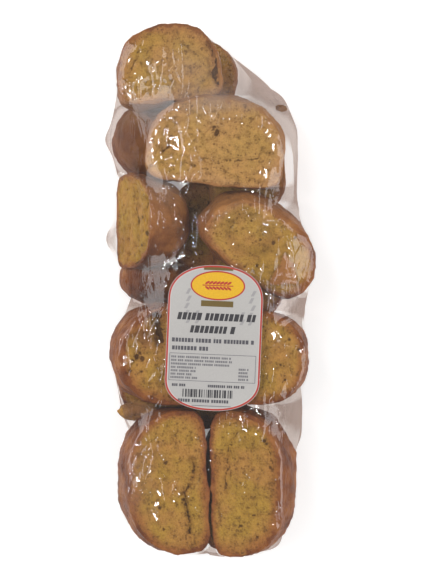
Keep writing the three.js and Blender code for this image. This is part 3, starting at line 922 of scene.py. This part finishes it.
class FilmRays:
    """The rays that the film's points slide on, from a line through the middle of the pack."""

    def __init__(self):
        start, end = SPINE[0][0], SPINE[-1][0]
        leans = np.linspace(0, math.pi / 2, FILM_END_ROWS + 2)[1:-1]
        side = np.linspace(start, end, FILM_SIDE_ROWS)
        y = np.concatenate([np.full(FILM_END_ROWS, start), side, np.full(FILM_END_ROWS, end)])
        lean = np.concatenate([-leans[::-1], np.zeros(FILM_SIDE_ROWS), leans])
        x = np.interp(y, *zip(*SPINE))
        self.origin = np.stack([x, y, np.full(len(y), SPINE_HEIGHT)], 1)[:, None, :]
        angle = film_angles()
        across = np.cos(lean)[:, None]
        self.way = np.stack([
            across * np.sin(angle), np.repeat(np.sin(lean)[:, None], len(angle), 1),
            across * np.cos(angle),
        ], -1)

    def places(self, reach):
        return self.origin + reach[..., None] * self.way


def table_reach(rays):
    """How far along each ray the table lies, far away for rays that rise."""
    down = np.minimum(rays.way[..., 2], -LEAST_PART)
    return np.where(rays.way[..., 2] < 0, SPINE_HEIGHT / -down, FAR)


def pinch_reach(rays):
    """How far along each ray the film may stand out beside the places where it is drawn in."""
    most = np.full(rays.way.shape[:2], FAR)
    for x, y in PINCHES:
        side = math.copysign(1, x)
        outward = rays.way[..., 0] * side
        away = np.abs(rays.origin[..., 1] - y)
        limit = abs(x) + PINCH_SLOPE * away - rays.origin[..., 0] * side
        used = (outward > 0.05) & (away < PINCH_REACH)
        most = np.where(used, np.minimum(most, limit / np.maximum(outward, LEAST_PART)), most)
    return most


def crust_reach(rays, tree):
    """How far along each ray the outermost crust lies, 0 where there is none."""
    found = np.zeros(rays.way.shape[:2])
    for row in range(found.shape[0]):
        origin = Vector(rays.origin[row, 0])
        for column in range(found.shape[1]):
            way = Vector(rays.way[row, column])
            distance = tree.ray_cast(origin + way * RAY_START, -way, RAY_START)[3]
            if distance is not None:
                found[row, column] = RAY_START - distance + FILM_GAP
    return found


def averaged(reach):
    """Each reach blended with those beside it; the ends of the pack don't touch."""
    tall = np.concatenate([reach[:1], reach, reach[-1:]])
    beside = tall[2:] + tall[:-2] + np.roll(reach, 1, 1) + np.roll(reach, -1, 1)
    return 0.5 * reach + 0.125 * beside


def softened(reach):
    """The crusts without their pores and grains, as the film bridges them."""
    tall = reach
    for axis in (0, 1):
        tall = np.maximum(tall, np.maximum(np.roll(tall, 1, axis), np.roll(tall, -1, axis)))
    for _ in range(SOFTENING_PASSES):
        tall = averaged(tall)
    return np.maximum(tall, reach - FILM_GIVE)


def along_fold(corners):
    """Points close together along a fold, through its corners."""
    corners = np.array(corners, float)
    points = [corners[0]]
    for start, end in zip(corners, corners[1:]):
        count = int(np.linalg.norm(end - start) / FOLD_STEP) + 1
        points.extend(start + (end - start) * (i + 1) / count for i in range(count))
    return points


def fold_reach(rays):
    """How far along each ray the air under a fold of the film lies, 0 where there is none."""
    found = np.zeros(rays.way.shape[:2])
    for middle in (point for corners in FOLDS for point in along_fold(corners)):
        to_middle = middle - rays.origin
        along = (to_middle * rays.way).sum(-1)
        aside = (to_middle ** 2).sum(-1) - along ** 2
        half = np.sqrt(np.clip(FOLD_RADIUS ** 2 - aside, 0, None))
        found = np.maximum(found, np.where((aside < FOLD_RADIUS ** 2) & (along > 0), along + half, 0))
    return found


def label_reach(rays):
    """How far along each ray the label holds the film, and where it does."""
    rise = np.maximum(rays.way[..., 2], LEAST_PART)
    reach = (LABEL_HEIGHT - SPINE_HEIGHT) / rise
    for _ in range(4):
        place = rays.places(np.minimum(reach, 400))
        u, v = to_label(place[..., 0], place[..., 1])
        reach = (paper_underside(u) - LABEL_CLEARANCE - SPINE_HEIGHT) / rise
    cap = np.where(v >= 0, TOP_CAP, FOOT_CAP)
    past = np.clip(np.abs(v) - (LABEL_LENGTH / 2 - cap), 0, None)
    across = np.abs(u) / (LABEL_WIDTH / 2 + LABEL_MARGIN)
    under = across ** LABEL_ROUND + (past / (cap + LABEL_MARGIN)) ** LABEL_ROUND <= 1
    held = under & (rays.way[..., 2] >= LEAST_RISE_TO_LABEL)
    return reach, held


def draw_tight(rays, reach, least, most, held, stride, sweeps):
    """Slides each film point to the middle of its neighbours, never into a crust or the table."""
    rows = slice(None, None, stride)
    origin, way = rays.origin[rows], rays.way[rows, rows]
    low, high, fixed = least[rows, rows], most[rows, rows], held[rows, rows]
    now = reach[rows, rows].copy()
    for _ in range(sweeps):
        place = origin + now[..., None] * way
        wanted = np.empty_like(place)
        ends = place[[0, -1]].mean(1)
        wanted[1:-1] = place[2:] + place[:-2]
        wanted[0] = place[1] + ends[0]
        wanted[-1] = place[-2] + ends[1]
        wanted *= ALONG_PULL
        wanted += np.roll(place, 1, 1) + np.roll(place, -1, 1)
        wanted /= 2 + 2 * ALONG_PULL
        slid = ((wanted - origin) * way).sum(-1)
        now = np.where(fixed, low, np.clip(SLIDE_KEPT * now + SLIDE_NEW * slid, low, high))
    return now


def spread(coarse, stride, shape):
    """A coarse grid of reaches drawn out to the full one; the columns go round."""
    rows = np.arange(shape[0]) / stride
    row = np.minimum(rows.astype(int), coarse.shape[0] - 2)
    share = (rows - row)[:, None]
    tall = coarse[row] * (1 - share) + coarse[row + 1] * share
    columns = np.arange(shape[1]) / stride
    column = columns.astype(int)
    part = columns - column
    beside = (column + 1) % coarse.shape[1]
    return tall[:, column] * (1 - part) + tall[:, beside] * part


def facets(points, length, rng):
    """Flat facets between straight creases that run mostly along the pack, from 0 to 1."""
    bent = points + 0.10 * length * np.stack([waves(points, 3 * length, rng) for _ in range(3)], -1)
    total = np.zeros(len(points))
    for lean in (0.1, -0.5, 0.75):
        way = np.array([math.cos(lean), 0.55 * math.sin(lean), 0.6])
        share = bent @ way / (length * rng.uniform(0.8, 1.25)) + rng.uniform()
        total += np.abs(2 * (share - np.floor(share)) - 1) / 3
    return total


def straight_ridges(place):
    """The height of the straight ridges at each point of the upper film."""
    height = np.zeros(len(place))
    above = place[:, 2] > UPPER_SIDE_WHOLE
    for x0, y0, x1, y1, rise in CREASES:
        away = distance_to_line(place[:, 0], place[:, 1], [(x0, y0), (x1, y1)])
        height = np.maximum(height, above * rise * np.clip(1 - away / CREASE_HALF_WIDTH, 0, 1))
    return height


def film_creases(place, slack, crumple, rng):
    """How far the creases of the film stand out: facets where it is crumpled, ridges elsewhere."""
    flat = place.reshape(-1, 3)
    loose = smooth_step(slack.ravel(), 0.5, 6)
    folded = crumple.ravel() * (1.9 * facets(flat, 13, rng) + 0.75 * facets(flat, 6, rng))
    ridge = np.clip(1 - np.abs(waves(flat, 10, rng, 26, (1, 5, 1))) * 3.2, 0, 1) ** 1.5
    patch = smooth_step(waves(flat, 30, rng), -0.2, 1.2)
    height = folded + 0.55 * (0.15 + 0.85 * loose) * ridge * patch + straight_ridges(flat)
    return height.reshape(slack.shape)


def film_limits(rays, crust, table, lid, held):
    """The least and the most reach of each film point."""
    bridged = softened(crust)
    most = np.minimum(table, np.maximum(pinch_reach(rays), bridged))
    least = np.minimum(np.maximum(bridged, fold_reach(rays)), table)
    return np.where(held, lid, np.minimum(least, most)), most


def settled_reach(rays, least, lowest, most, lid, held):
    """The film's reach when it is drawn tight in finer and finer steps, and then eased."""
    reach = least
    for stride, sweeps in DRAW_STEPS:
        reach = spread(draw_tight(rays, reach, least, most, held, stride, sweeps), stride, least.shape)
        reach = np.clip(reach, least, most)
    for _ in range(EASING_PASSES):
        reach = np.where(held, lid, np.clip(averaged(reach), lowest, most))
    return reach


def film_numbers(rays, place, slack, crumple):
    """The numbers that the film's material reads at each point, the two poles' at the ends."""
    aside = smooth_step(np.abs(rays.way[..., 2]), 0.85, 0.55)
    cloud = sum(strength * spots(stretched(place, x, y, wide, long), [(0, 0, 1)])
                for x, y, wide, long, strength in CLOUDS)
    fields = (("slack", slack, 10), ("aside", aside, 1), ("crumple", crumple, 0), ("cloud", cloud, 0))
    return {name: np.concatenate([[at_pole], values.ravel(), [at_pole]])
            for name, values, at_pole in fields}


def make_film(tree):
    rays = FilmRays()
    crust, table = crust_reach(rays, tree), table_reach(rays)
    lid, held = label_reach(rays)
    least, most = film_limits(rays, crust, table, lid, held)
    lowest = np.minimum(crust - FILM_GIVE, most)
    reach = settled_reach(rays, least, lowest, most, lid, held)
    slack = reach - np.minimum(crust, reach)
    place = rays.places(reach)
    crumple = np.maximum(spots(place, CRUMPLES), CRUMPLE_EVERYWHERE)
    free = ~held & (reach < table - TABLE_MARGIN)
    upward = 0.3 + 0.7 * smooth_step(rays.way[..., 2], 0.15, 0.6)
    creases = film_creases(place, slack, crumple, np.random.default_rng(FILM_SEED))
    place = rays.places(np.clip(reach + free * upward * creases, lowest, table))
    place[..., 2] = np.maximum(place[..., 2], LOWEST_FILM)
    poles = place[[0, -1]].mean(1)
    points = np.concatenate([poles[:1], place.reshape(-1, 3), poles[1:]])
    rows, columns = reach.shape
    faces = closed_rings(rows, columns, 1, 0, len(points) - 1)
    numbers = film_numbers(rays, place, slack, crumple)
    keep_piece(make_object("film", points, faces, film_material(), numbers, points), "bag")


def stretched(place, x, y, wide, long):
    """Points moved and scaled so that an oval patch becomes a round one at the middle."""
    moved = place.copy()
    moved[..., 0] = (place[..., 0] - x) / wide
    moved[..., 1] = (place[..., 1] - y) / long
    return moved


def film_material():
    """Clear film. It mirrors most where it lies level and at a slant to the eye. Where it stands off the
    rusks it is milkier, and what is seen through it is darkened, painted shade."""
    make = Shader("clear_film")
    grain, slack, crumple = make.vector("grain"), make.number("slack"), make.number("crumple")
    facing = make.node("ShaderNodeLayerWeight", {"Blend": 0.5}).outputs["Facing"]
    level = make.node("ShaderNodeSeparateXYZ", {0: make.geometry("Normal")})
    mirrored = make.step(level.outputs["Z"], 0.60, 0.86, 0.020, 0.055)
    mirrored = make.math("MULTIPLY_ADD", make.math("POWER", facing, 5.0), 0.012, mirrored)
    long_grain = make.stretch(grain, (1, 0.4, 1))
    long_lines = make.step(make.cell_edges(long_grain, 0.085), 0.0, 0.075)
    cross_lines = make.step(make.cell_edges(make.lean(grain), 0.15), 0.0, 0.14)
    lines = make.math("MULTIPLY_ADD", cross_lines, 0.6, long_lines)
    patchy = make.step(make.noise(grain, 0.035, 2), 0.46, 0.66, 0.03, 0.9)
    patchy = make.math("MULTIPLY_ADD", crumple, 0.5, patchy)
    creases = make.bump(make.times(lines, patchy), 1.0, 0.00028)
    normal = make.facet_normal(long_grain, 0.16, make.times(crumple, 0.40), creases)
    gloss = make.surface({"Base Color": (1, 1, 1, 1), "Metallic": 1.0, "Roughness": 0.05, "Normal": normal})
    off = make.times(make.step(slack, 5.0, 14.0), make.number("aside"))
    # painted shade: what is seen through the film where it stands off the rusks is darkened
    painted_shade_tint = make.blend(off, (0.97, 0.965, 0.96), (0.66, 0.58, 0.54))
    clear = make.node("ShaderNodeBsdfTransparent", {"Color": painted_shade_tint}).outputs[0]
    milk = make.surface({"Base Color": (0.36, 0.32, 0.31, 1), "Roughness": 0.5})
    veil = make.times(make.number("cloud"), make.step(make.noise(grain, 0.09, 3), 0.3, 0.6, 0.5))
    haze = make.math("ADD", make.math("MULTIPLY_ADD", off, 0.04, 0.002), veil)
    cloudy = make.node("ShaderNodeMixShader", {0: haze, 1: clear, 2: milk}).outputs[0]
    return make.finish(make.node("ShaderNodeMixShader", {0: mirrored, 1: cloudy, 2: gloss}).outputs[0])


# ---- the label ----

INK_LIFT, HIGH_INK_LIFT = 0.05, 0.08
INK_SINK = 0.02  # how far patches of ink reach into the paper
INK_ROUGH = 0.45
PATCH_STEP = 3
EDGE_POINTS = 220
CODE_MODULE = 0.375
BADGE_AT, BADGE_HALF = (1.2, 37.5), (18.5, 9.5)
TABLE_BOX = (-31.1, 30.4, -31.1, -11.8)  # left, right, bottom, top


def paper_material():
    make = Shader("label_paper")
    place = make.geometry("Position")
    fibre = make.noise(place, 900.0, 4)
    shade = make.noise(place, 14.0, 2)
    tone = make.ramp(shade, (0.35, srgb(171, 168, 165)), (0.65, srgb(179, 176, 172)))
    tone = make.blend(0.25, tone, make.ramp(fibre, (0.3, srgb(162, 159, 157)), (0.7, srgb(184, 181, 178))))
    normal = make.bump(fibre, 0.15, 0.0001)
    return make.finish(make.surface({"Base Color": tone, "Roughness": INK_ROUGH, "Normal": normal}))


def ink(name, colour):
    make = Shader(name)
    place = make.geometry("Position")
    darker = tuple(0.86 * channel for channel in colour)
    tone = make.ramp(make.noise(place, 1200.0, 2), (0.3, darker), (0.7, colour))
    return make.finish(make.surface({"Base Color": tone, "Roughness": INK_ROUGH}))


class Sheet:
    """Collects thin closed patches that lie on the label."""

    def __init__(self):
        self.points, self.faces = [], []

    def patch(self, u, v, lift=INK_LIFT, base=-INK_SINK, wraps=False):
        """A patch from a grid of label coordinates, from base to lift above the paper."""
        rows, columns = u.shape
        first = sum(len(points) for points in self.points)
        for level in (lift, base):
            self.points.append(on_label(u, v, level).reshape(-1, 3))
        under = rows * columns
        spans = columns if wraps else columns - 1

        def corner(row, column):
            return first + row * columns + column % columns

        for row in range(rows - 1):
            for column in range(spans):
                quad = [corner(row, column), corner(row, column + 1),
                        corner(row + 1, column + 1), corner(row + 1, column)]
                self.faces.append(tuple(quad))
                self.faces.append(tuple(under + i for i in reversed(quad)))
        edges = [(corner(0, c + 1), corner(0, c)) for c in range(spans)]
        edges += [(corner(rows - 1, c), corner(rows - 1, c + 1)) for c in range(spans)]
        if not wraps:
            edges += [(corner(r, 0), corner(r + 1, 0)) for r in range(rows - 1)]
            edges += [(corner(r + 1, columns - 1), corner(r, columns - 1)) for r in range(rows - 1)]
        for a, b in edges:
            self.faces.append((b, a, under + a, under + b))

    def bar(self, u0, u1, v0, v1, slant=0.0, lift=INK_LIFT):
        """A bar of ink; slant moves its upper side to the right."""
        steps = int((u1 - u0) / PATCH_STEP) + 2
        u, v = np.meshgrid(np.linspace(u0, u1, steps), np.array([v0, v1]))
        self.patch(u + slant * (v - v0), v, lift)

    def oval(self, middle, half, turn=0.0, lift=INK_LIFT):
        """A filled oval of ink."""
        angle = turns(max(10, int(10 * math.sqrt(max(half)))))
        x, y = filled_rows((half[0] * np.cos(angle), half[1] * np.sin(angle)), [1, 0.66, 0.33, 0.02])
        cos, sin = math.cos(turn), math.sin(turn)
        self.patch(middle[0] + x * cos - y * sin, middle[1] + x * sin + y * cos, lift, wraps=True)

    def ring(self, outer, inner, lift=INK_LIFT):
        """A band between two closed outlines, each a pair of arrays."""
        self.patch(np.stack([outer[0], inner[0]]), np.stack([outer[1], inner[1]]), lift, wraps=True)

    def blocks(self, span, middle, tall, wide, rng, slant=0.0):
        """A row of small blocks in groups, as fields that stand for a line of print."""
        u, end = span
        left_in_group = rng.integers(3, 10)
        while u < end - 0.6 * wide:
            width = wide * rng.uniform(0.7, 1.1)
            self.bar(u, min(u + width, end), middle - tall / 2, middle + tall / 2, slant)
            left_in_group -= 1
            u += width + wide * (0.28 if left_in_group else 1.0)
            left_in_group = left_in_group or rng.integers(3, 10)

    def finish(self, name, material, slot="print", replaced=None):
        piece = make_object(name, np.concatenate(self.points), self.faces, material, smooth=False)
        keep_piece(piece, replaced)


def filled_rows(edge, shares):
    """Rings from an outline in to near its middle, as one grid of u and of v."""
    u = np.stack([edge[0] * share for share in shares])
    v = np.stack([edge[1] * share for share in shares])
    return u, v


def make_label():
    paper = Sheet()
    edge = label_edge(turns(EDGE_POINTS))
    u, v = filled_rows(edge, [1, 0.85, 0.7, 0.55, 0.4, 0.25, 0.1, 0.01])
    paper.patch(u, v, 0.0, base=-PAPER_THICK, wraps=True)
    paper.finish("label_paper", paper_material(), "label_paper", "label")


def make_rim(red):
    angle = turns(EDGE_POINTS)
    rim = Sheet()
    rim.ring(label_edge(angle, 0.3), label_edge(angle, 1.5))
    rim.finish("label_rim", red)
    line = Sheet()
    line.ring(label_edge(angle, 1.5), label_edge(angle, 2.1), 0.04)
    line.finish("label_inner_line", ink("pale_ink", srgb(196, 192, 188)))


def make_badge(red, olive):
    """A yellow oval with a red edge and an ear of grain, and olive bands over and under it."""
    angle = turns(60)
    (u, v), (wide, tall) = BADGE_AT, BADGE_HALF
    yellow = Sheet()
    yellow.oval(BADGE_AT, (wide, tall))
    yellow.finish("badge_oval", ink("yellow_ink", srgb(222, 172, 22)))
    edge = Sheet()
    edge.ring((u + (wide + 1) * np.cos(angle), v + (tall + 1) * np.sin(angle)),
              (u + wide * np.cos(angle), v + tall * np.sin(angle)))
    edge.bar(u - 11, u + 11, v - 0.35, v + 0.35, lift=HIGH_INK_LIFT)
    for step in range(7):
        for side in (1, -1):
            at = (u - 7.5 + 2.6 * step, v + side * 1.9)
            edge.oval(at, (1.9, 0.8), side * 0.6, lift=HIGH_INK_LIFT)
    edge.finish("badge_edge_and_ear", red)
    bands = Sheet()
    bands.bar(u - 10.5, u + 10.5, v + tall + 1.4, v + tall + 4.0)
    bands.bar(u - 11.5, u + 11.5, v - tall - 5.6, v - tall - 1.4)
    bands.finish("badge_bands", olive)


def make_hatching():
    """Faint slanted strokes on the paper at both sides of the badge."""
    rng = np.random.default_rng(5)
    strokes = Sheet()
    for v in np.arange(10, 46, 5.2):
        for u in np.arange(-28, 28, 6.5):
            near_badge = abs(u - BADGE_AT[0]) < 22 and v > 20
            near_edge = abs(u) > 26 - max(0, v - 30)
            over_title = v < 20 and abs(u) < 12
            if near_badge or near_edge or over_title:
                continue
            at = u + rng.uniform(-1, 1)
            strokes.bar(at, at + 2.2, v, v + 4.0, 0.5, 0.03)
    strokes.finish("label_hatching", ink("faint_ink", srgb(156, 153, 153)))


def print_title_and_code(rng):
    """Two rows of large blocks, and a code of bars near the foot."""
    title = Sheet()
    title.blocks((-27, 31), 15.0, 5.2, 2.9, rng, 0.2)
    title.blocks((-17.5, 15.5), 5.9, 5.2, 2.9, rng, 0.2)
    u = -20.9
    while u < 15:
        width = CODE_MODULE * rng.integers(1, 5)
        title.bar(u, u + width, -42.7, -37.0)
        u += width + CODE_MODULE * rng.integers(1, 4)
    title.finish("label_title_and_code", ink("black_ink", srgb(50, 48, 52)))


def print_text_lines(rng):
    """Rows of small blocks: (left, right, middle, height, width of a block)."""
    lines = Sheet()
    for left, right, v, tall, wide in (
            (-30, 29, -2.2, 2.9, 1.9), (-29.7, -4, -7.9, 2.9, 1.9), (-28.7, -18.7, -34.4, 1.9, 1.2),
            (-3, 24, -34.4, 1.9, 1.2), (-24, 12, -45.2, 2.2, 1.5)):
        lines.blocks((left, right), v, tall, wide, rng)
    lines.finish("label_text_lines", ink("dark_grey_ink", srgb(78, 76, 82)))


def print_table(rng):
    """A framed table with rows of tiny blocks, and a short line near the foot."""
    table = Sheet()
    left, right, bottom, top = TABLE_BOX
    for v in (bottom, top):
        table.bar(left, right, v - 0.2, v + 0.2)
    for u in (left, right):
        table.bar(u - 0.2, u + 0.2, bottom, top)
    for v in (-14.3, -16.8, -19.3):
        table.blocks((-30, rng.uniform(4, 27)), v, 1.5, 1.1, rng)
    for v in (-21.8, -24.2, -26.6, -29.0):
        table.blocks((-30, rng.uniform(-18, -10)), v, 1.5, 1.1, rng)
        table.blocks((18.5, 26), v, 1.5, 1.1, rng)
    table.bar(-14, 14, -48.9, -48.4)
    table.finish("label_table", ink("light_grey_ink", srgb(112, 110, 114)))


def make_print():
    rng = np.random.default_rng(21)
    print_title_and_code(rng)
    print_text_lines(rng)
    print_table(rng)


make_camera()
make_studio()
crusts = make_rusks()
make_film(crusts)
make_label()
red_ink = ink("red_ink", srgb(176, 48, 34))
make_rim(red_ink)
make_badge(red_ink, ink("olive_ink", srgb(104, 84, 34)))
make_hatching()
make_print()
